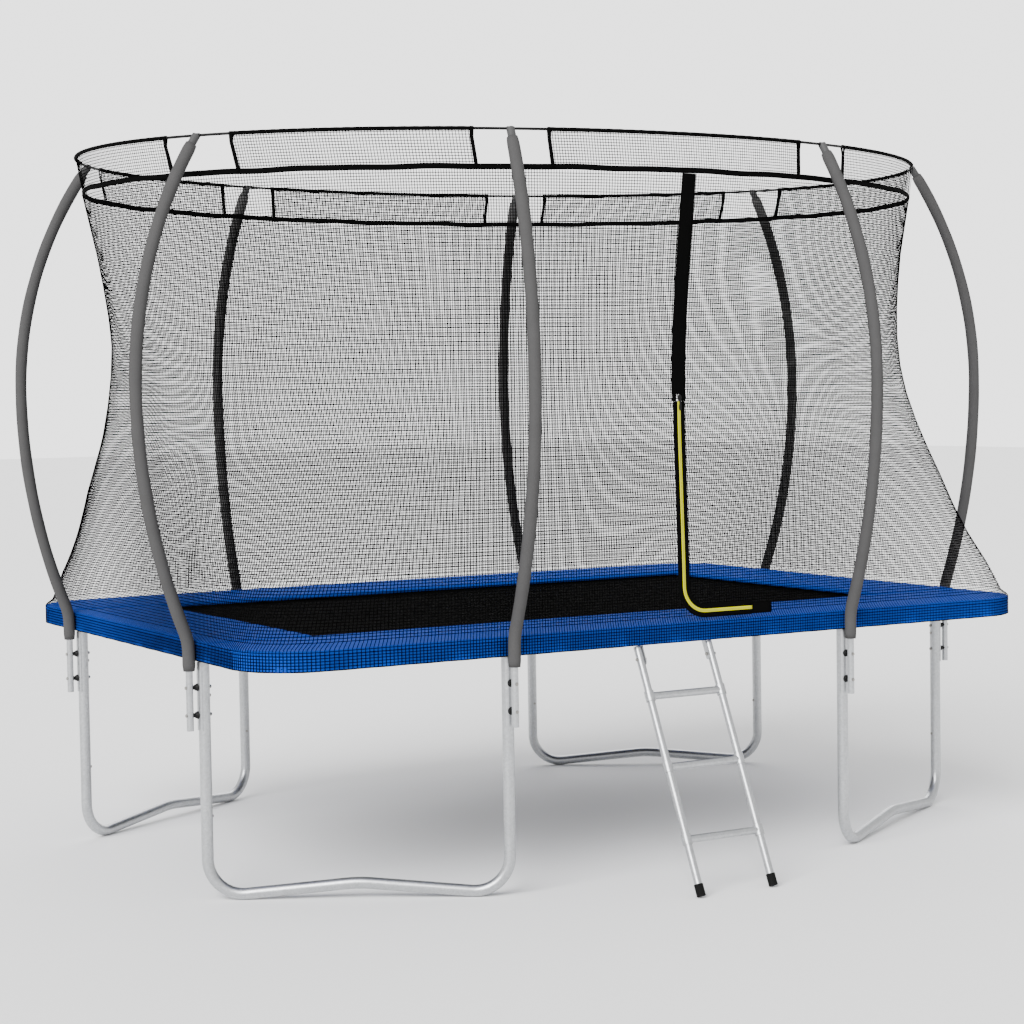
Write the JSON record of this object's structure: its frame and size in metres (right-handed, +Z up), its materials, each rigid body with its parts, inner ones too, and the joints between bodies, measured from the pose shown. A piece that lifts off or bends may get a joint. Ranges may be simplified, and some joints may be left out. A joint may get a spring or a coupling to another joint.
{
  "type": "rectangular trampoline with safety net",
  "caption": "Rectangular trampoline on U-shaped steel legs, with a sprung mat, padded edge, curved-pole safety net with zip doorway, and a hook-on ladder.",
  "frame": {"origin": "on the floor under the middle of the mat", "axes": "+X along the long side, +Y away from the ladder side, +Z up"},
  "size_m": [3.812, 3.0287, 2.7006],
  "materials": {
    "galvanised": "satin zinc",
    "bolt_steel": "zinc plated",
    "foam": "grey foam sleeve",
    "black_plastic": "matt",
    "ring_black": "pultruded rod",
    "net_black": "knitted net",
    "webbing_black": "woven webbing",
    "cap_grey": "moulded",
    "zip_yellow": "moulded zip",
    "mat_black": "woven polypropylene",
    "spring_steel": "zinc plated wire",
    "pad_blue": "coated woven sheet",
    "rubber_black": "moulded rubber"
  },
  "bodies": {
    "frame": {"frame_rail_front": "galvanised", "pad_front": "pad_blue", "net_panel_front": "net_black", "frame_rail_back": "galvanised", "pad_back": "pad_blue", "net_panel_back": "net_black", "frame_rail_left": "galvanised", "pad_left": "pad_blue", "net_panel_left": "net_black", "frame_rail_right": "galvanised", "pad_right": "pad_blue", "net_panel_right": "net_black", "frame_corner_front_left": "galvanised", "leg_base_front_left": "galvanised", "frame_corner_front_right": "galvanised", "leg_base_front_right": "galvanised", "frame_corner_back_left": "galvanised", "leg_base_back_left": "galvanised", "frame_corner_back_right": "galvanised", "leg_base_back_right": "galvanised", "foam_sleeve_front_left_end": "foam", "foam_sleeve_front_left_side": "foam", "foam_sleeve_front_right_end": "foam", "foam_sleeve_front_right_side": "foam", "foam_sleeve_back_left_end": "foam", "foam_sleeve_back_left_side": "foam", "foam_sleeve_back_right_end": "foam", "foam_sleeve_back_right_side": "foam", "tee_sockets": "galvanised", "leg_uprights": "galvanised", "frame_screws": "bolt_steel", "pole_lowers": "galvanised", "pole_uppers": "galvanised", "pole_caps": "cap_grey", "leg_saddles": "galvanised", "clamp_spacers": "black_plastic", "clamp_bolts": "bolt_steel", "clamp_nuts": "bolt_steel", "ring_rods": "ring_black", "ring_ferrules": "ring_black", "net_band": "webbing_black", "net_hem": "webbing_black", "net_straps": "webbing_black", "net_top_strips": "net_black", "net_corner_panels": "net_black", "zip_tape_net_side": "webbing_black", "door_webbing": "webbing_black", "springs": "spring_steel"},
    "mat": {"jumping_mat": "mat_black", "mat_hem": "webbing_black", "mat_v_rings": "spring_steel"},
    "ladder": {"ladder_rails": "galvanised", "ladder_rungs": "galvanised", "ladder_feet": "rubber_black", "ladder_hooks": "galvanised", "ladder_bolts": "bolt_steel"},
    "skirt_flap": {"skirt_flap": "pad_blue"},
    "door_flap": {"door_flap": "net_black", "zip_tape_door_side": "webbing_black"},
    "zip_slider": {"zip_slider": "zip_yellow"}
  },
  "joints": [
    {"name": "mat_bounce", "type": "slide", "parent": "frame", "child": "mat", "axis": [0, 0, -1], "range_m": [0, 0.3], "stiffness_N_per_m": 9000, "deforming": ["springs"]},
    {"name": "ladder_swing", "type": "hinge", "parent": "frame", "child": "ladder", "pos_m": [-0.045, -1.1835, 0.88], "axis": [-1, 0, 0], "range_deg": [0, 45]},
    {"name": "skirt_flap_lift", "type": "hinge", "parent": "frame", "child": "skirt_flap", "pos_m": [-0.045, -1.213, 0.9015], "axis": [-1, 0, 0], "range_deg": [0, 54]},
    {"name": "door_swing", "type": "hinge", "parent": "frame", "child": "door_flap", "pos_m": [0, -1.18473, 1.73], "axis": [0.3695, -0.0193, -0.929], "range_deg": [0, 100]},
    {"name": "zip_travel", "type": "slide", "parent": "frame", "child": "zip_slider", "axis": [0, -0.0207, -0.9998], "range_m": [0, 0.65]}
  ],
  "couplings": [
    {"joint": "skirt_flap_lift", "follows": "ladder_swing", "ratio": 1.2}
  ]
}
